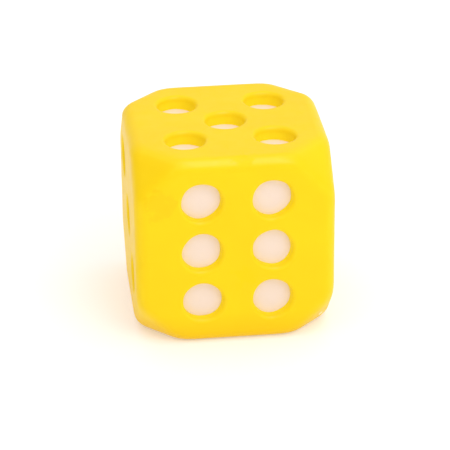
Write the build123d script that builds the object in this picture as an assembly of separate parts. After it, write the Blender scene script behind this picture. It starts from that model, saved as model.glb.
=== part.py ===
from build123d import *

import os

# Giant yard die: a soft foam cube, bonded from flat slabs, with its corners cut flat and its
# edges rounded. Each pip is a round recess with a pale foam disc glued in the bottom of it.
# Millimetres, +Z up. The origin is the centre of the bottom face, the one with two pips.
# The six faces -Y, the five faces +Z, the four faces +X; opposite faces add up to seven.

# ---- driving dimensions ----
side = 160.0            # across two opposite faces
edge_radius = 10.0      # rounding of every edge
corner_cut = 38.0       # from a sharp corner, along each edge, to the flat that cuts it off
slab_count = 4          # equal foam slabs bonded one on another
bore_diameter = 31.5    # round recess of one pip
lip_radius = 3.5        # rounding of the recess's mouth
disc_thickness = 3.0    # pale foam disc
disc_clearance = 0.1    # between the disc's edge and the bore's wall
diagonal_offset = 36.0  # two, three, four and five: pip centre from the face's centre, each way
column_offset = 28.0    # six: each of its two columns from the face's centre
row_offset = 43.5       # six: its outer rows from the face's centre

# from each face down to its pale discs: the bores are sunk by hand, and not all to one depth
recess_depths = {"one": 9.0, "two": 9.0, "three": 9.0, "four": 9.0, "five": 11.0, "six": 7.5}

half = side / 2
bore_radius = bore_diameter / 2
slab_thickness = side / slab_count

# ---- pip places on a face, looked at from outside ----
d = diagonal_offset
pip_places = {
    "one": {"centre": (0, 0)},
    "two": {"lower_left": (-d, -d), "upper_right": (d, d)},
    "three": {"upper_left": (-d, d), "centre": (0, 0), "lower_right": (d, -d)},
    "four": {"upper_left": (-d, d), "upper_right": (d, d), "lower_left": (-d, -d), "lower_right": (d, -d)},
}
pip_places["five"] = {**pip_places["four"], "centre": (0, 0)}
pip_places["six"] = {
    f"{row}_{column}": (x, y)
    for row, y in (("upper", row_offset), ("middle", 0), ("lower", -row_offset))
    for column, x in (("left", -column_offset), ("right", column_offset))
}

# ---- one plane per face: on the face's centre, z outwards, y up on the four side faces ----
face_planes = {
    "one": Plane(origin=(0, half, half), x_dir=(-1, 0, 0), z_dir=(0, 1, 0)),
    "two": Plane(origin=(0, 0, 0), x_dir=(1, 0, 0), z_dir=(0, 0, -1)),
    "three": Plane(origin=(-half, 0, half), x_dir=(0, -1, 0), z_dir=(-1, 0, 0)),
    "four": Plane(origin=(half, 0, half), x_dir=(0, 1, 0), z_dir=(1, 0, 0)),
    "five": Plane(origin=(0, 0, side), x_dir=(1, 0, 0), z_dir=(0, 0, 1)),
    "six": Plane(origin=(0, -half, half), x_dir=(1, 0, 0), z_dir=(0, -1, 0)),
}


def corner_plane(sx, sy, sz):
    """The plane that cuts off the corner on the sides given by three signs, z outwards."""
    corner = Vector(sx * half, sy * half, half + sz * half)
    on_edge = corner - Vector(sx * corner_cut, 0, 0)
    return Plane(origin=on_edge, z_dir=(sx, sy, sz))


def rounded_block():
    """The whole die before its pips: a cube with its corners cut off and all edges rounded."""
    block = Pos(0, 0, half) * Box(side, side, side)
    for sx in (-1, 1):
        for sy in (-1, 1):
            for sz in (-1, 1):
                block = split(block, bisect_by=corner_plane(sx, sy, sz), keep=Keep.BOTTOM)
    return fillet(block.edges(), edge_radius)


def pip_bore(plane, x, y, bore_depth):
    """The space that one pip takes out of the foam: a blind bore with a rounded mouth."""
    flare = lip_radius
    with BuildPart() as bore:
        with BuildSketch(Plane.XZ):
            with BuildLine():
                Polyline(
                    (bore_radius, -flare),
                    (bore_radius, -bore_depth),
                    (0, -bore_depth),
                    (0, flare),
                    (bore_radius + flare, flare),
                    (bore_radius + flare, 0),
                )
                RadiusArc((bore_radius + flare, 0), (bore_radius, -flare), lip_radius)
            make_face()
        revolve(axis=Axis.Z)
    return plane * Pos(x, y, 0) * bore.part


def pip_disc(plane, x, y, bore_depth):
    """One pale disc, standing on the bottom of its bore."""
    radius = bore_radius - disc_clearance
    middle = disc_thickness / 2 - bore_depth
    return plane * Pos(x, y, middle) * Cylinder(radius, disc_thickness)


def foam_slabs(body):
    """The body, cut into its bonded slabs, from the bottom up."""
    slabs = []
    for i in range(slab_count):
        layer = Pos(0, 0, (i + 0.5) * slab_thickness) * Box(side, side, slab_thickness)
        slabs.append(body & layer)
    return slabs


body = rounded_block()
discs = {}
for number, places in pip_places.items():
    bore_depth = recess_depths[number] + disc_thickness
    for place, (x, y) in places.items():
        body -= pip_bore(face_planes[number], x, y, bore_depth)
        discs[f"pip_{number}_{place}"] = pip_disc(face_planes[number], x, y, bore_depth)

os.makedirs("parts", exist_ok=True)
for i, slab in enumerate(foam_slabs(body), start=1):
    export_step(slab, f"parts/foam_slab_{i}.step")
for name, disc in discs.items():
    export_step(disc, f"parts/{name}.step")
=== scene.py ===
"""Giant yard die in soft foam: four bonded slabs and twenty-one pale pip discs, with its studio.

It is laid out as an add-on: settings, one operator for the slabs, one for the discs, one for the
studio, and a panel. Metres, +Z up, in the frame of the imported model.
"""

import math
import random

import bmesh
import bpy
import numpy as np
from bpy.props import FloatProperty, FloatVectorProperty, IntProperty, PointerProperty
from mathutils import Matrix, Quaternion, Vector, noise


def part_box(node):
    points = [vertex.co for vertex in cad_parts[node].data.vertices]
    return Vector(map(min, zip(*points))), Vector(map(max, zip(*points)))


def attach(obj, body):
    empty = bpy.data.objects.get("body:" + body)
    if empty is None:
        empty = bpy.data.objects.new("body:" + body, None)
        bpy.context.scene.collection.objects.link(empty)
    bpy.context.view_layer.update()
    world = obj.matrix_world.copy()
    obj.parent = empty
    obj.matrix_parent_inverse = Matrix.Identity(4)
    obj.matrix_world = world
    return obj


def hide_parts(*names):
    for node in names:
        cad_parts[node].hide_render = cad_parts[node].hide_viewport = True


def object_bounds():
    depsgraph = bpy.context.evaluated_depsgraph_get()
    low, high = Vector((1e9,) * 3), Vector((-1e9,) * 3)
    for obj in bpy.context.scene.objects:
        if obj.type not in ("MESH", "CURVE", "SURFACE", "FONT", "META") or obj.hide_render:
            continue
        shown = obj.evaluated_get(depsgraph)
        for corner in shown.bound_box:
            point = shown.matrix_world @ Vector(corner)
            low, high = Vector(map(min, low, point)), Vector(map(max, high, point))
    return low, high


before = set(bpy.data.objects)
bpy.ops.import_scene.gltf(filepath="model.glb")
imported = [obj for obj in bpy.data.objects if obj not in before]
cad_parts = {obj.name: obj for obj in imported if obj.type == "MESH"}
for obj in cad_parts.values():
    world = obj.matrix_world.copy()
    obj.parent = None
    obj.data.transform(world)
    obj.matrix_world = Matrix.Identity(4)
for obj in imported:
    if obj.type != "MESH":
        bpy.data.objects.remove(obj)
cad_low, cad_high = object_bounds()

bl_info = {
    "name": "Giant Yard Die",
    "version": (1, 0, 0),
    "blender": (4, 5, 0),
    "location": "3D View > Sidebar > Yard Die",
    "description": "Builds a soft foam yard die, its pips and its studio round the packed frame",
    "category": "Add Mesh",
}

MM = 0.001
BODY = "root"
SIDE = cad_high.x - cad_low.x
HALF = SIDE / 2
CENTRE = (cad_low + cad_high) / 2
SLABS = sorted(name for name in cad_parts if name.startswith("foam_slab_"))
DISCS = sorted(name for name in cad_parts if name.startswith("pip_"))
SEAMS = [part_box(name)[1].z for name in SLABS[:-1]]

# share of the bore lean on each leaning face, by axis and sign: the six faces -Y, the five +Z
LEAN_SHARES = {(1, -1): 1, (2, 1): 0.5}

# marks on the skin, rubs, a tear and a darker patch: where each is and how wide, in millimetres from the
# middle of the foot
EDGE_SCUFF = {"at": (8, -77, 157), "width": 15}
FRONT_SCUFF = {"at": (7, -80, 58), "width": 20}
DARK_PATCH = {"at": (-60, -76, 124), "width": 24}
TEAR = {"at": (70.5, -63, 11.5), "width": 4.5}


# ---------------------------------------------------------------- settings


class DieShape(bpy.types.PropertyGroup):
    """Sizes of the foam body and its pips."""

    edge_radius: FloatProperty(
        name="Edge radius",
        description="Rounding of every edge of the body",
        default=10 * MM,
        min=1 * MM,
        unit="LENGTH",
    )
    corner_cut: FloatProperty(
        name="Corner cut",
        description="From a sharp corner, along each edge, to the flat that cuts it off",
        default=38 * MM,
        min=10 * MM,
        unit="LENGTH",
    )
    lip_radius: FloatProperty(
        name="Lip radius",
        description="Rounding of the mouth of each recess",
        default=3.5 * MM,
        min=0.5 * MM,
        unit="LENGTH",
    )
    disc_clearance: FloatProperty(
        name="Disc clearance",
        description="Between a disc's edge and the wall of its recess",
        default=0.1 * MM,
        min=0,
        unit="LENGTH",
    )
    grid_cells: IntProperty(
        name="Grid cells",
        description="Mesh cells across one face of the body",
        default=100,
        min=60,
    )
    block_cells: IntProperty(
        name="Block cells",
        description="Mesh cells from a recess's centre to the edge of the square it is set in",
        default=11,
        min=6,
    )
    sag_depth: FloatProperty(
        name="Sag depth",
        description="How far the hand-cut skin lies below its true shape at most",
        default=0.5 * MM,
        min=0,
        unit="LENGTH",
    )
    outline_wobble: FloatProperty(
        name="Outline wobble",
        description="How far a recess's mouth strays from a true circle",
        default=0.55 * MM,
        min=0,
        unit="LENGTH",
    )
    seam_width: FloatProperty(
        name="Seam width",
        description="Width of the faint groove where two slabs are bonded",
        default=0.6 * MM,
        min=0.2 * MM,
        unit="LENGTH",
    )
    seam_depth: FloatProperty(
        name="Seam depth",
        description="Depth of that groove",
        default=0.015 * MM,
        min=0,
        unit="LENGTH",
    )
    disc_dish: FloatProperty(
        name="Disc dish",
        description="How far a disc's middle lies below its edge, pressed in when it was glued",
        default=0.35 * MM,
        min=0,
        unit="LENGTH",
    )
    facet_blend: FloatProperty(
        name="Facet blend",
        description="Width over which a corner flat runs softly into the faces beside it",
        default=11 * MM,
        min=0.1 * MM,
        unit="LENGTH",
    )
    bore_taper: FloatProperty(
        name="Bore taper",
        description="How much narrower a recess is at its disc than just inside its lip",
        default=0.1 * MM,
        min=0,
        unit="LENGTH",
    )
    bore_lean: FloatProperty(
        name="Bore lean",
        description="How far the six's mouths lie to the right of their bottoms; half as far on the five",
        default=1.7 * MM,
        min=0,
        unit="LENGTH",
    )


class DieFinish(bpy.types.PropertyGroup):
    """Colours of the foam, how dull it is, and the size of its pores."""

    foam_colour: FloatVectorProperty(
        name="Foam colour",
        description="The body's yellow",
        default=(0.92, 0.665, 0.001),
        size=3,
        min=0,
        max=1,
        subtype="COLOR",
    )
    foam_shade: FloatVectorProperty(
        name="Foam shade",
        description="The deeper yellow of the body's patches and pores",
        default=(0.89, 0.605, 0.0005),
        size=3,
        min=0,
        max=1,
        subtype="COLOR",
    )
    worn_colour: FloatVectorProperty(
        name="Worn colour",
        description="The paler yellow of rubbed edges and lips",
        default=(0.93, 0.70, 0.01),
        size=3,
        min=0,
        max=1,
        subtype="COLOR",
    )
    torn_colour: FloatVectorProperty(
        name="Torn colour",
        description="The pale inside of the foam, showing in a small tear at the foot of the die",
        default=(0.95, 0.87, 0.55),
        size=3,
        min=0,
        max=1,
        subtype="COLOR",
    )
    # painted shade: the deeper orange yellow that the skin takes towards the foot, standing in for the
    # shade low on the die
    foot_shade_colour: FloatVectorProperty(
        name="Ground colour",
        description="The deeper, orange yellow round the foot of the die, where it has stood",
        default=(0.86, 0.52, 0.001),
        size=3,
        min=0,
        max=1,
        subtype="COLOR",
    )
    # painted light: a brighter yellow for the recesses' walls, standing in for light inside the recesses
    bore_light_colour: FloatVectorProperty(
        name="Bore colour",
        description="The clean, freshly cut yellow of the recesses' walls",
        default=(0.97, 0.80, 0.012),
        size=3,
        min=0,
        max=1,
        subtype="COLOR",
    )
    pip_colour: FloatVectorProperty(
        name="Pip colour",
        description="The pale foam of the discs",
        default=(0.865, 0.735, 0.66),
        size=3,
        min=0,
        max=1,
        subtype="COLOR",
    )
    # painted bounce light and shade near the wall, and the colour of the discs' darker pores
    pip_pore_and_bounce_colour: FloatVectorProperty(
        name="Pip shade",
        description="The same foam where dust has settled along the wall",
        default=(0.90, 0.74, 0.58),
        size=3,
        min=0,
        max=1,
        subtype="COLOR",
    )
    skin_roughness: FloatProperty(
        name="Skin roughness",
        description="Roughness of the satin skin where it is cleanest",
        default=0.34,
        min=0,
        max=1,
        subtype="FACTOR",
    )
    pore_size: FloatProperty(
        name="Pore size",
        description="Width of a closed cell of the foam's skin",
        default=0.9 * MM,
        min=0.1 * MM,
        unit="LENGTH",
    )


class DieStudio(bpy.types.PropertyGroup):
    """The camera, the dome of soft light and the floor."""

    azimuth: FloatProperty(
        name="Azimuth",
        description="Where the camera stands, round from straight in front",
        default=math.radians(-6.26),
        subtype="ANGLE",
    )
    elevation: FloatProperty(
        name="Elevation",
        description="How far the camera looks down",
        default=math.radians(25.95),
        subtype="ANGLE",
    )
    roll: FloatProperty(
        name="Roll",
        description="Turn of the camera about its own line of sight",
        default=math.radians(-0.6),
        subtype="ANGLE",
    )
    distance: FloatProperty(
        name="Distance",
        description="From the middle of the die to the camera",
        default=12.11 * SIDE,
        unit="LENGTH",
        subtype="DISTANCE",
    )
    aim_drop: FloatProperty(
        name="Aim drop",
        description="How far below the die's middle the camera aims",
        default=0.0825 * SIDE,
        unit="LENGTH",
    )
    lens: FloatProperty(
        name="Lens",
        description="Focal length in millimetres",
        default=189.0,
        min=10,
    )
    dome_strength: FloatProperty(
        name="Dome strength",
        description="Brightness of the soft light from all round",
        default=0.95,
        min=0,
    )
    floor_colour: FloatVectorProperty(
        name="Floor colour",
        description="The plain pale floor",
        default=(0.78, 0.78, 0.78),
        size=3,
        min=0,
        max=1,
        subtype="COLOR",
    )


# ---------------------------------------------------------------- seats of the pips


class Seat:
    """Where one pip sits, read from its disc in the frame."""

    def __init__(self, name):
        low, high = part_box(name)
        size = high - low
        middle = (low + high) / 2 - CENTRE
        self.name = name
        self.axis = min(range(3), key=lambda i: size[i])
        self.sign = 1 if middle[self.axis] > 0 else -1
        across, up = (self.axis + 1) % 3, (self.axis + 2) % 3
        self.at = (middle[across], middle[up])
        self.disc_radius = size[across] / 2
        self.disc_thickness = size[self.axis]
        self.bore_depth = HALF - abs(middle[self.axis]) + self.disc_thickness / 2
        luck = random.Random(name)
        self.phases = [luck.uniform(0, math.tau) for _ in range(3)]
        self.stray = Vector([luck.uniform(-0.3, 0.3) * MM for _ in range(3)])
        self.stray[self.axis] = 0


def face_axes(axis, sign):
    """Across, up and outwards on one face of the die, as unit vectors."""
    unit = np.eye(3)
    return unit[(axis + 1) % 3], unit[(axis + 2) % 3], sign * unit[axis]


# ---------------------------------------------------------------- the foam body


def beyond_body(points, shape):
    """How far points lie outside a round-edged cube whose corner flats run softly into its faces."""
    beyond = np.abs(points) - (HALF - shape.edge_radius)
    past_edges = np.linalg.norm(np.maximum(beyond, 0), axis=1)
    to_faces = past_edges + np.minimum(beyond.max(1), 0) - shape.edge_radius
    to_flat = (np.abs(points).sum(1) - 3 * HALF + shape.corner_cut) / math.sqrt(3)
    # the larger of the two, with the crease between them rounded by a cubic
    near = np.maximum(0, 1 - np.abs(to_faces - to_flat) / shape.facet_blend)
    return np.maximum(to_faces, to_flat) + shape.facet_blend / 6 * near**3


def bracket(limit, holds, halvings):
    """Closes in, for each point, on how far from 0 towards its limit a condition holds."""
    low, high = np.zeros(len(limit)), limit
    for _ in range(halvings):
        middle = (low + high) / 2
        held = holds(middle)
        low = np.where(held, middle, low)
        high = np.where(held, high, middle)
    return low, high


def round_off(points, shape):
    """Moves points of the sharp cube's surface in to the body's surface.

    Each point is sent out from a core, a smaller cube with its corners cut off, to the soft
    surface round it. Gives the moved points, and the way in which each was sent.
    """
    inner = HALF - shape.edge_radius
    corner_sum = 3 * HALF - shape.corner_cut - math.sqrt(3) * shape.edge_radius
    size = np.abs(points)

    def past_flat(drop):
        return np.minimum(size - drop[:, None], inner).sum(1) > corner_sum

    drop, _ = bracket(np.full(len(points), HALF), past_flat, halvings=40)
    core = np.minimum(size - drop[:, None], inner) * np.sign(points)
    outwards = points - core
    outwards /= np.linalg.norm(outwards, axis=1)[:, None]

    def inside(reach):
        return beyond_body(core + reach[:, None] * outwards, shape) < 0

    _, reach = bracket(np.full(len(points), shape.edge_radius), inside, halvings=24)
    return core + reach[:, None] * outwards, outwards


def edge_share(ways):
    """1 in the middle of a rounded edge, falling to 0 on the flats."""
    full_turn = 0.12  # 1 less the cosine of the turn from the nearest flat, where the share is full
    size = np.abs(ways)
    nearest_flat = np.maximum(size.max(1), size.sum(1) / math.sqrt(3))
    return np.clip((1 - nearest_flat) / full_turn, 0, 1)


def outline(seat, shape, angles):
    """How far the wall of a recess stands out from its circle, at each angle."""
    waves_round = (2, 3, 5)
    out = sum(np.sin(waves * angles + phase) / waves for waves, phase in zip(waves_round, seat.phases))
    return shape.outline_wobble * out


def lean(seat, shape):
    """Which way and how far the mouth of a recess lies from straight above its bottom."""
    share = LEAN_SHARES.get((seat.axis, seat.sign), 0)
    return seat.stray + Vector((shape.bore_lean * share, 0, 0))


def relax(grid, held, rounds=240):
    """Spreads a grid's free points evenly between the held ones."""
    for _ in range(rounds):
        mean = sum(np.roll(grid, step, axis) for axis in (0, 1) for step in (-1, 1)) / 4
        grid = np.where(held[..., None], grid, mean)
    return grid


def block_loop(column, row, reach):
    """Grid places round the edge of a square block, anticlockwise from its lower right corner."""
    loop = [(column + reach, row + k) for k in range(-reach, reach)]
    loop += [(column - k, row + reach) for k in range(-reach, reach)]
    loop += [(column - reach, row - k) for k in range(-reach, reach)]
    loop += [(column + k, row - reach) for k in range(-reach, reach)]
    return loop


def bore_rings(seat, shape):
    """Radius and depth of each ring of a recess, from the outside of its lip to its bottom."""
    lip_steps, wall_steps = 6, 7
    above_disc = 0.1 * MM
    floor_share = 0.9  # of the radius, for the flat ring round the bottom
    radius = seat.disc_radius + shape.disc_clearance
    lip = shape.lip_radius
    rings = []
    for step in range(1, lip_steps + 1):
        turn = math.radians(90) * step / lip_steps
        rings.append((radius + lip - lip * math.sin(turn), lip - lip * math.cos(turn)))
    wall_end = seat.bore_depth - seat.disc_thickness - above_disc
    for step in range(1, wall_steps + 1):
        share = step / wall_steps
        rings.append((radius - shape.bore_taper * share, lip + (wall_end - lip) * share))
    rings.append((radius - shape.bore_taper, seat.bore_depth))
    rings.append((radius * floor_share, seat.bore_depth))
    return rings


def lip_wear(depth):
    """1 at the depth where a recess's lip is rubbed most, falling away above and below it."""
    most_rubbed, spread = 0.5 * MM, 1.2 * MM
    return math.exp(-(((depth - most_rubbed) / spread) ** 2))


def lay_grid(axis, seats, shape):
    """Lays a flat grid across one face, with its cells drawn round the mouths of the recesses.

    Gives the grid, the cells that the mouths cut out, and for each recess the grid places round
    its mouth, the circle they lie on and how far each stands out from it.
    """
    cells, reach = shape.grid_cells, shape.block_cells
    steps = np.linspace(-HALF, HALF, cells + 1)
    grid = np.stack(np.meshgrid(steps, steps, indexing="ij"), -1)
    held = np.zeros((cells + 1, cells + 1), bool)
    held[[0, -1], :] = held[:, [0, -1]] = True
    cut_out = np.zeros((cells, cells), bool)
    loops = {}
    for seat in seats:
        column, row = (round((at + HALF) / SIDE * cells) for at in seat.at)
        loop = block_loop(column, row, reach)
        angles = np.arange(len(loop)) / len(loop) * math.tau - math.pi / 4
        circle = np.stack([np.cos(angles), np.sin(angles)], 1)
        wobble = outline(seat, shape, angles)
        offset = np.array(lean(seat, shape))[[(axis + 1) % 3, (axis + 2) % 3]]
        mouth = seat.disc_radius + shape.disc_clearance + shape.lip_radius + wobble
        places = tuple(np.array(loop).T)
        grid[places] = np.array(seat.at) + offset + mouth[:, None] * circle
        held[column - reach : column + reach + 1, row - reach : row + reach + 1] = True
        cut_out[column - reach : column + reach, row - reach : row + reach] = True
        loops[seat.name] = (loop, circle, wobble)
    return relax(grid, held), cut_out, loops


def add_recess(bm, layers, seat, axes, mouth, circle, wobble, shape):
    """Adds one recess to the body, ring by ring, from the vertices round its mouth to its bottom."""
    across, up, outwards = axes
    centre = seat.at[0] * across + seat.at[1] * up + HALF * outwards
    offset = np.array(lean(seat, shape))
    last = mouth
    for radius, depth in bore_rings(seat, shape):
        share = 1 - depth / seat.bore_depth
        middle = centre + share * offset - depth * outwards
        ring = []
        for (c, s), stray in zip(circle, wobble):
            vertex = bm.verts.new(middle + (radius + stray) * (c * across + s * up))
            vertex[layers["bore"]] = min(1, depth / (2 * shape.lip_radius))
            vertex[layers["lip"]] = lip_wear(depth)
            ring.append(vertex)
        for k, vertex in enumerate(ring):
            bm.faces.new([last[k - 1], last[k], vertex, ring[k - 1]])
        last = ring
    bm.faces.new(last)


def add_face(bm, layers, axis, sign, seats, shape):
    """Adds one face of the die to the body: a grid that runs into the rings of its recesses."""
    grid, cut_out, loops = lay_grid(axis, seats, shape)
    axes = across, up, outwards = face_axes(axis, sign)
    flat = grid.reshape(-1, 2)
    sharp = flat[:, :1] * across + flat[:, 1:] * up + HALF * outwards
    round_points, ways = round_off(sharp, shape)
    edges = edge_share(ways)
    hidden = np.zeros(grid.shape[:2], bool)
    hidden[1:-1, 1:-1] = cut_out[1:, 1:] & cut_out[:-1, 1:] & cut_out[1:, :-1] & cut_out[:-1, :-1]
    made = {}
    for place, point, edge in zip(np.ndindex(hidden.shape), round_points, edges):
        if not hidden[place]:
            vertex = bm.verts.new(point)
            vertex[layers["edge"]] = edge
            made[place] = vertex
    for i, j in np.ndindex(cut_out.shape):
        if not cut_out[i, j]:
            bm.faces.new([made[p] for p in ((i, j), (i + 1, j), (i + 1, j + 1), (i, j + 1))])

    for seat in seats:
        loop, circle, wobble = loops[seat.name]
        mouth = [made[place] for place in loop]
        add_recess(bm, layers, seat, axes, mouth, circle, wobble, shape)


def let_sag(bm, layers, shape):
    """Lays the skin a little below its true shape in slow waves, as hand-cut foam lies.

    The waves fade out down the lips of the recesses, whose walls stay true.
    """
    slow_waves, slow_start = 14, Vector((3.1, 0.4, 7.7))  # waves to a metre
    quick_waves, quick_start = 45, Vector((1.3, 5.9, 2.2))
    mean, slow_share, quick_share = 0.5, 0.42, 0.12
    bm.normal_update()
    moves = []
    for vertex in bm.verts:
        slow = noise.noise(vertex.co * slow_waves + slow_start)
        quick = noise.noise(vertex.co * quick_waves + quick_start)
        share = (mean + slow_share * slow + quick_share * quick) * (1 - vertex[layers["bore"]])
        moves.append(vertex.normal * (-shape.sag_depth * min(1, max(0, share))))
    for vertex, move in zip(bm.verts, moves):
        vertex.co += move


def whole_body(shape, seats):
    """The body's skin before it is cut into slabs, as one closed mesh."""
    same_place = 0.001 * MM
    bm = bmesh.new()
    layers = {name: bm.verts.layers.float.new(name) for name in ("edge", "bore", "lip")}
    for axis in range(3):
        for sign in (-1, 1):
            here = [s for s in seats if (s.axis, s.sign) == (axis, sign)]
            add_face(bm, layers, axis, sign, here, shape)
    bmesh.ops.remove_doubles(bm, verts=bm.verts, dist=same_place)
    bmesh.ops.recalc_face_normals(bm, faces=bm.faces)
    for face in bm.faces:
        face.smooth = True
    bmesh.ops.translate(bm, verts=bm.verts, vec=CENTRE)
    let_sag(bm, layers, shape)
    return bm


def cut_level(bm, height, way, **settings):
    """Cuts a mesh along a level plane that faces up (1) or down (-1)."""
    everything = bm.verts[:] + bm.edges[:] + bm.faces[:]
    plane = {"plane_co": Vector((0, 0, height)), "plane_no": Vector((0, 0, way))}
    bmesh.ops.bisect_plane(bm, geom=everything, dist=1e-4 * MM, **plane, **settings)


def cut_slab(body, low, high, shape):
    """A copy of the body between two heights, closed, its bonded rims drawn in to a faint groove."""
    slab = body.copy()
    for height, inside in ((low, 1), (high, -1)):
        if height is None:
            continue
        cut_level(slab, height + inside * shape.seam_width / 2, 1)
        cut_level(slab, height, inside, clear_inner=True)
        slab.normal_update()
        rim = [edge for edge in slab.edges if edge.is_boundary]
        for vertex in {v for edge in rim for v in edge.verts}:
            inwards = vertex.normal.copy()
            inwards.z = 0
            vertex.co -= inwards * shape.seam_depth
        caps = bmesh.ops.holes_fill(slab, edges=rim, sides=0)["faces"]
        for cap in caps:
            cap.smooth = False
        for edge in rim:
            edge.smooth = False
    return slab


def new_piece(name, bm, material):
    """Makes a scene object from a mesh, with its material."""
    mesh = bpy.data.meshes.new(name)
    bm.to_mesh(mesh)
    bm.free()
    mesh.materials.append(material)
    piece = bpy.data.objects.new(name, mesh)
    bpy.context.scene.collection.objects.link(piece)
    return piece


def stand_for(piece, node):
    """Fixes a finished piece to the frame, in the place of its plain node."""
    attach(piece, BODY)
    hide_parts(node)


# ---------------------------------------------------------------- the pip discs


def disc_profile(seat, shape):
    """Share of the radius, and height above the bottom, of each ring of a disc.

    The rings run out across its dished top, round its softened rim, and in to its underside.
    """
    thick, soft = seat.disc_thickness, 0.06 * MM
    top_rings, top_share = 12, 0.99
    flatness = 4  # the higher, the flatter the middle of the dish
    profile = []
    for k in range(1, top_rings + 1):
        share = top_share * k / top_rings
        profile.append((share, thick - shape.disc_dish * (1 - share**flatness)))
    profile += [(0.997, thick - soft / 3), (1.0, thick - soft), (1.0, soft), (0.995, 0)]
    return profile


def disc_mesh(seat, shape):
    """One pale disc, lying in its recess, a little uneven on top."""
    sides = 8 * shape.block_cells  # as many as the wall of its recess
    clearance_filled = 0.95
    dent_depth, dents = 0.12 * MM, 160  # dents to a metre
    dent_start = 0.01
    rim_start = 0.55
    across, up, outwards = (Vector(v) for v in face_axes(seat.axis, seat.sign))
    foot = CENTRE + seat.at[0] * across + seat.at[1] * up + (HALF - seat.bore_depth) * outwards
    tilt = lean(seat, shape) / seat.bore_depth
    radius = seat.disc_radius + clearance_filled * shape.disc_clearance - shape.bore_taper
    angles = math.tau * np.arange(sides) / sides
    wobble = outline(seat, shape, angles)
    bm = bmesh.new()
    rim_layer = bm.verts.layers.float.new("rim")
    middle_height = seat.disc_thickness - shape.disc_dish
    top = bm.verts.new(foot + middle_height * (outwards + tilt))
    last = None
    for share, height in disc_profile(seat, shape):
        ring = []
        for angle, stray in zip(angles, wobble):
            reach = share * float(radius + stray)
            point = foot + reach * (math.cos(angle) * across + math.sin(angle) * up)
            dip = 0
            if height >= seat.disc_thickness / 2:
                dip = dent_depth * (1 + noise.noise((point + outwards * dent_start) * dents))
            vertex = bm.verts.new(point + (height - dip) * (outwards + tilt))
            vertex[rim_layer] = max(0, share - rim_start) / (1 - rim_start)
            ring.append(vertex)
        for k, vertex in enumerate(ring):
            if last is None:
                bm.faces.new([top, ring[k - 1], vertex])
            else:
                bm.faces.new([last[k - 1], ring[k - 1], vertex, last[k]])
        last = ring
    bm.faces.new(last)
    bmesh.ops.recalc_face_normals(bm, faces=bm.faces)
    for face in bm.faces:
        face.smooth = True
    return bm


# ---------------------------------------------------------------- materials


class Nodes:
    """A short way to lay out the nodes of one material."""

    COLUMN_WIDTH, ROW_HEIGHT, ROWS = 220, 260, 4

    def __init__(self, name):
        self.material = bpy.data.materials.new(name)
        self.material.use_nodes = True
        self.tree = self.material.node_tree
        self.tree.nodes.clear()
        self.count = 0

    def add(self, kind, values=None, **settings):
        """Adds a node, sets its properties, and fills or links its inputs."""
        node = self.tree.nodes.new("ShaderNode" + kind)
        column, row = divmod(self.count, self.ROWS)
        node.location = (self.COLUMN_WIDTH * column, -self.ROW_HEIGHT * row)
        self.count += 1
        for key, value in settings.items():
            setattr(node, key, value)
        for key, value in (values or {}).items():
            if isinstance(value, bpy.types.NodeSocket):
                self.tree.links.new(value, node.inputs[key])
            else:
                node.inputs[key].default_value = value
        return node

    def place(self):
        """The place on the object, in metres."""
        return self.add("TexCoord").outputs["Object"]

    def noise(self, place, size, detail=2.0, roughness=0.5, distortion=0.0):
        """Soft noise whose patches are about that size across."""
        values = {
            "Vector": place,
            "Scale": 1 / size,
            "Detail": detail,
            "Roughness": roughness,
            "Distortion": distortion,
        }
        return self.add("TexNoise", values).outputs["Fac"]

    def cells(self, place, size):
        """Distance to the nearest middle of cells of about that size."""
        return self.add("TexVoronoi", {"Vector": place, "Scale": 1 / size}).outputs["Distance"]

    def spread(self, value, low, high, to_low=0.0, to_high=1.0):
        """Maps low to high onto another range, without going past its ends."""
        values = {
            "Value": value,
            "From Min": low,
            "From Max": high,
            "To Min": to_low,
            "To Max": to_high,
        }
        return self.add("MapRange", values).outputs["Result"]

    def maths(self, operation, a, b):
        """One step of arithmetic with two values."""
        return self.add("Math", {0: a, 1: b}, operation=operation).outputs[0]

    def blend(self, share, first, second):
        """A colour between two colours."""
        values = {"Factor": share}
        node = self.add("Mix", values, data_type="RGBA")
        for socket, colour in ((node.inputs[6], first), (node.inputs[7], second)):
            if isinstance(colour, bpy.types.NodeSocket):
                self.tree.links.new(colour, socket)
            else:
                socket.default_value = (*colour, 1)
        return node.outputs[2]

    def marked(self, name):
        """A value that the mesh carries at its points."""
        return self.add("Attribute", attribute_name=name).outputs["Fac"]

    def bump(self, height, distance, strength, normal=None):
        """Fine relief of that height in metres."""
        values = {"Height": height, "Distance": distance, "Strength": strength}
        if normal is not None:
            values["Normal"] = normal
        return self.add("Bump", values).outputs["Normal"]

    def finish(self, values):
        """The shader itself and the material's output."""
        shader = self.add("BsdfPrincipled", values)
        self.add("OutputMaterial", {"Surface": shader.outputs[0]})
        return self.material


def ragged_mark(n, place, at, width):
    """1 in the middle of a ragged mark, 0 outside it; sizes in millimetres."""
    middle = [c * MM for c in at]
    away = n.add("VectorMath", {0: place, 1: middle}, operation="DISTANCE").outputs["Value"]
    stray = 0.3 * width * MM
    ragged = n.spread(n.noise(place, 6 * MM, detail=3, roughness=0.6), 0.3, 0.7, -stray, stray)
    full_to, none_from = 0.35 * width * MM, 0.6 * width * MM
    return n.spread(n.maths("ADD", away, ragged), full_to, none_from, to_low=1.0, to_high=0.0)


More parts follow.
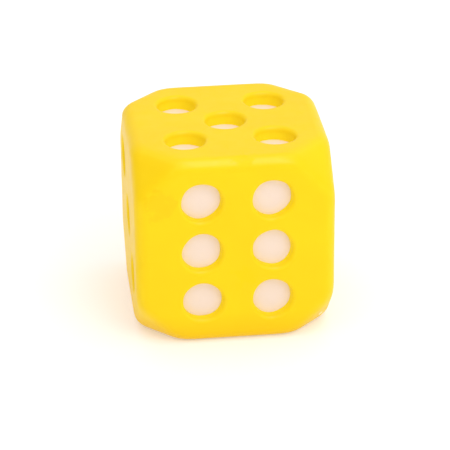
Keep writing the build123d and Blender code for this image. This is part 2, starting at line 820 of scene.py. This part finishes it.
def foam_skin(finish):
    """Satin yellow foam: slow patches, closed pores, rubbed edges and lips, marks of use, a darker patch,
    and painted shade towards the foot.

    The walls of the recesses are painted a brighter yellow than the skin, painted light that lifts the
    shade inside them, and they are more matte.
    """
    n = Nodes("yellow_foam")
    place = n.place()
    patches = n.spread(n.noise(place, 55 * MM, detail=3), 0.35, 0.65)
    mottle = n.noise(place, 9 * MM, detail=4, roughness=0.6)
    pores = n.cells(place, finish.pore_size)
    grain = n.noise(place, 0.35 * MM, detail=2)
    pits = n.spread(pores, 0.0, 0.28, to_low=1.0, to_high=0.0)
    bore, edge, lip = n.marked("bore"), n.marked("edge"), n.marked("lip")

    shade_share = n.maths("MULTIPLY", patches, 0.45)
    colour = n.blend(shade_share, finish.foam_colour, finish.foam_shade)
    colour = n.blend(n.maths("MULTIPLY", pits, 0.18), colour, finish.foam_shade)
    wear = n.spread(mottle, 0.35, 0.7, to_low=0.1, to_high=0.55)
    rubbed = n.maths("MULTIPLY", n.maths("MAXIMUM", edge, lip), wear)
    colour = n.blend(rubbed, colour, finish.worn_colour)
    # a darker patch high on the left of the front
    dark_patch = n.maths("MULTIPLY", ragged_mark(n, place, **DARK_PATCH), 0.8)
    colour = n.blend(dark_patch, colour, finish.foam_shade)
    height = n.add("SeparateXYZ", {0: place}).outputs["Z"]
    # painted shade: the skin turns a deeper orange yellow towards the foot, standing in for the shade and
    # yellow bounce light low on the die
    foot = n.spread(height, 5 * MM, 26 * MM, to_low=0.7, to_high=0.0)
    colour = n.blend(foot, colour, finish.foot_shade_colour)
    colour = n.blend(ragged_mark(n, place, **TEAR), colour, finish.torn_colour)
    # painted light: the recesses' walls turn a brighter yellow, lifting the shade inside them
    colour = n.blend(n.maths("MULTIPLY", bore, 0.9), colour, finish.bore_light_colour)

    clean = finish.skin_roughness
    roughness = n.spread(mottle, 0.3, 0.7, clean, clean + 0.12)
    roughness = n.maths("ADD", roughness, n.maths("MULTIPLY", bore, 0.3))
    scuffs = n.maths("MAXIMUM", ragged_mark(n, place, **EDGE_SCUFF), ragged_mark(n, place, **FRONT_SCUFF))
    roughness = n.maths("ADD", roughness, n.maths("MULTIPLY", scuffs, 0.3))

    relief = n.bump(pores, distance=0.05 * MM, strength=0.35)
    relief = n.bump(grain, distance=0.03 * MM, strength=0.3, normal=relief)
    relief = n.bump(mottle, distance=0.15 * MM, strength=0.25, normal=relief)
    return n.finish(
        {
            "Base Color": colour,
            "Roughness": roughness,
            "Normal": relief,
            "IOR": 1.27,
        }
    )


def pip_foam(finish):
    """Pale matte foam with an open, felt-like surface, with painted yellow bounce light and shade along
    the wall.
    """
    n = Nodes("pale_foam")
    place = n.place()
    patches = n.noise(place, 12 * MM, detail=4, roughness=0.6)
    fibres = n.noise(place, 0.6 * MM, detail=3, roughness=0.65, distortion=1.5)
    pores = n.cells(place, 0.7 * MM)
    rim = n.marked("rim")
    # painted bounce light and shade: the disc turns yellower towards its rim, beside the yellow wall
    painted_rim_bounce = n.maths("MULTIPLY", rim, n.spread(patches, 0.35, 0.65, to_low=0.35, to_high=0.8))
    colour = n.blend(painted_rim_bounce, finish.pip_colour, finish.pip_pore_and_bounce_colour)
    pits = n.spread(pores, 0.0, 0.25, to_low=0.2, to_high=0.0)
    colour = n.blend(pits, colour, finish.pip_pore_and_bounce_colour)
    roughness = n.spread(fibres, 0.3, 0.7, to_low=0.78, to_high=0.92)
    relief = n.bump(fibres, distance=0.1 * MM, strength=0.4)
    relief = n.bump(pores, distance=0.08 * MM, strength=0.35, normal=relief)
    return n.finish(
        {
            "Base Color": colour,
            "Roughness": roughness,
            "Normal": relief,
            "IOR": 1.35,
            "Sheen Weight": 0.1,
            "Sheen Roughness": 0.6,
        }
    )


def floor_paint(studio):
    """Plain pale floor, faintly uneven, and lit a little from within so that it stays white."""
    n = Nodes("pale_floor")
    place = n.place()
    patches = n.spread(n.noise(place, 0.4, detail=2), 0.3, 0.7, to_low=0.0, to_high=0.5)
    darker = [0.985 * c for c in studio.floor_colour]
    colour = n.blend(patches, studio.floor_colour, darker)
    relief = n.bump(n.noise(place, 2 * MM, detail=3), distance=0.05 * MM, strength=0.1)
    return n.finish(
        {
            "Base Color": colour,
            "Roughness": 0.8,
            "Normal": relief,
            "IOR": 1.3,
            "Emission Color": (1, 1, 1, 1),
            "Emission Strength": 0.29,
        }
    )


# ---------------------------------------------------------------- operators


class YARDDIE_OT_foam_slabs(bpy.types.Operator):
    """Builds the four bonded slabs of the yellow foam body, with their recesses"""

    bl_idname = "yard_die.foam_slabs"
    bl_label = "Foam Slabs"

    def execute(self, context):
        shape = context.scene.yard_die_shape
        material = foam_skin(context.scene.yard_die_finish)
        body = whole_body(shape, [Seat(name) for name in DISCS])
        open_edges = sum(not edge.is_manifold for edge in body.edges)
        if open_edges:
            raise RuntimeError(f"the foam body isn't closed: {open_edges} open edges")
        heights = [None, *SEAMS, None]
        for name, low, high in zip(SLABS, heights[:-1], heights[1:]):
            slab = cut_slab(body, low, high, shape)
            piece = new_piece(name.replace("foam_slab", "foam_body"), slab, material)
            stand_for(piece, name)
        body.free()
        return {"FINISHED"}


class YARDDIE_OT_pip_discs(bpy.types.Operator):
    """Builds the twenty-one pale foam discs that lie in the recesses"""

    bl_idname = "yard_die.pip_discs"
    bl_label = "Pip Discs"

    def execute(self, context):
        shape = context.scene.yard_die_shape
        material = pip_foam(context.scene.yard_die_finish)
        for name in DISCS:
            disc = disc_mesh(Seat(name), shape)
            piece = new_piece(name.replace("pip_", "pip_disc_"), disc, material)
            stand_for(piece, name)
        return {"FINISHED"}


def add_area_light(name, at, aim, width, height, watts, lights_surfaces=True):
    """A soft rectangular lamp at a point, turned to another point.

    Without lights_surfaces it is only seen as a shine.
    """
    lamp = bpy.data.lights.new(name, "AREA")
    lamp.shape = "RECTANGLE"
    lamp.size, lamp.size_y, lamp.energy = width, height, watts
    holder = bpy.data.objects.new(name, lamp)
    holder.location = at
    holder.rotation_mode = "QUATERNION"
    holder.rotation_quaternion = (Vector(at) - Vector(aim)).to_track_quat("Z", "Y")
    holder.visible_camera = False
    holder.visible_diffuse = lights_surfaces
    bpy.context.scene.collection.objects.link(holder)


def add_dome(strength):
    """A white dome of light, brighter overhead, dimmer and warmer on the left."""
    left_tint, plain_white = (0.86, 0.72, 0.70, 1), (1, 1, 1, 1)
    side_light, top_light = 0.85 * strength, 1.38 * strength
    world = bpy.data.worlds.new("studio_dome")
    world.use_nodes = True
    tree = world.node_tree
    tree.nodes.clear()
    direction = tree.nodes.new("ShaderNodeTexCoord")
    split = tree.nodes.new("ShaderNodeSeparateXYZ")
    tree.links.new(direction.outputs["Generated"], split.inputs[0])
    # X picks the colour and Z the strength: the ends of each ramp, then its value at each end
    ramps = {"X": (-0.9, 0.3, 0, 1), "Z": (0.35, 0.95, side_light, top_light)}
    levels = {}
    for way, numbers in ramps.items():
        ramp = tree.nodes.new("ShaderNodeMapRange")
        ramp.interpolation_type = "SMOOTHSTEP"
        for key, value in zip(("From Min", "From Max", "To Min", "To Max"), numbers):
            ramp.inputs[key].default_value = value
        tree.links.new(split.outputs[way], ramp.inputs["Value"])
        levels[way] = ramp.outputs["Result"]
    tint = tree.nodes.new("ShaderNodeMix")
    tint.data_type = "RGBA"
    tint.inputs[6].default_value = left_tint
    tint.inputs[7].default_value = plain_white
    tree.links.new(levels["X"], tint.inputs["Factor"])
    background = tree.nodes.new("ShaderNodeBackground")
    output = tree.nodes.new("ShaderNodeOutputWorld")
    tree.links.new(tint.outputs[2], background.inputs["Color"])
    tree.links.new(levels["Z"], background.inputs["Strength"])
    tree.links.new(background.outputs[0], output.inputs["Surface"])
    bpy.context.scene.world = world


def add_floor(studio):
    """A wide flat floor under the die."""
    half_width, cells = 6.0, 40
    bm = bmesh.new()
    bmesh.ops.create_grid(bm, x_segments=cells, y_segments=cells, size=half_width)
    bmesh.ops.translate(bm, verts=bm.verts, vec=(0, 0, cad_low.z))
    floor = new_piece("studio_floor", bm, floor_paint(studio))


def add_camera(studio):
    """The camera, a little to the left and looking down on the die."""
    full_frame = 36  # width of the film, in millimetres
    data = bpy.data.cameras.new("studio_camera")
    data.lens, data.sensor_width = studio.lens, full_frame
    camera = bpy.data.objects.new("studio_camera", data)
    a, e = studio.azimuth, studio.elevation
    back = Vector((math.sin(a) * math.cos(e), -math.cos(a) * math.cos(e), math.sin(e)))
    turn = back.to_track_quat("Z", "Y") @ Quaternion((0, 0, 1), studio.roll)
    camera.rotation_mode = "QUATERNION"
    camera.rotation_quaternion = turn
    camera.location = CENTRE + back * studio.distance - (turn @ Vector((0, 1, 0))) * studio.aim_drop
    bpy.context.scene.collection.objects.link(camera)
    bpy.context.scene.camera = camera


class YARDDIE_OT_studio(bpy.types.Operator):
    """Builds the floor, the lights and the camera"""

    bl_idname = "yard_die.studio"
    bl_label = "Studio"

    def execute(self, context):
        studio = context.scene.yard_die_studio
        add_camera(studio)
        add_floor(studio)
        add_dome(studio.dome_strength)
        key_place, glint_place = (0.8, -1.6, 1.75), (0.1, -0.47, 0.97)
        front_edge = CENTRE + Vector((0, -HALF, HALF))
        add_area_light("key_light", key_place, CENTRE, width=1.2, height=1.2, watts=11)
        add_area_light(
            "edge_glint",
            glint_place,
            front_edge,
            width=0.22,
            height=1.0,
            watts=7,
            lights_surfaces=False,
        )
        context.scene.view_settings.view_transform = "Standard"
        return {"FINISHED"}


class YARDDIE_PT_panel(bpy.types.Panel):
    """Lists the settings and the building steps of the yard die"""

    bl_label = "Yard Die"
    bl_idname = "YARDDIE_PT_panel"
    bl_space_type = "VIEW_3D"
    bl_region_type = "UI"
    bl_category = "Yard Die"

    def draw(self, context):
        layout = self.layout
        scene = context.scene
        for settings in (scene.yard_die_shape, scene.yard_die_finish, scene.yard_die_studio):
            box = layout.box()
            for name in settings.__annotations__:
                box.prop(settings, name)
        for step in STEPS:
            layout.operator(step.bl_idname)


# ---------------------------------------------------------------- registration and making

STEPS = (YARDDIE_OT_studio, YARDDIE_OT_foam_slabs, YARDDIE_OT_pip_discs)
CLASSES = (DieShape, DieFinish, DieStudio, *STEPS, YARDDIE_PT_panel)


def register():
    for cls in CLASSES:
        bpy.utils.register_class(cls)
    bpy.types.Scene.yard_die_shape = PointerProperty(type=DieShape)
    bpy.types.Scene.yard_die_finish = PointerProperty(type=DieFinish)
    bpy.types.Scene.yard_die_studio = PointerProperty(type=DieStudio)


def unregister():
    for name in ("yard_die_shape", "yard_die_finish", "yard_die_studio"):
        delattr(bpy.types.Scene, name)
    for cls in reversed(CLASSES):
        bpy.utils.unregister_class(cls)


def main():
    """Builds everything."""
    register()
    bpy.ops.yard_die.studio()
    bpy.ops.yard_die.foam_slabs()
    bpy.ops.yard_die.pip_discs()


if __name__ == "__main__":
    main()
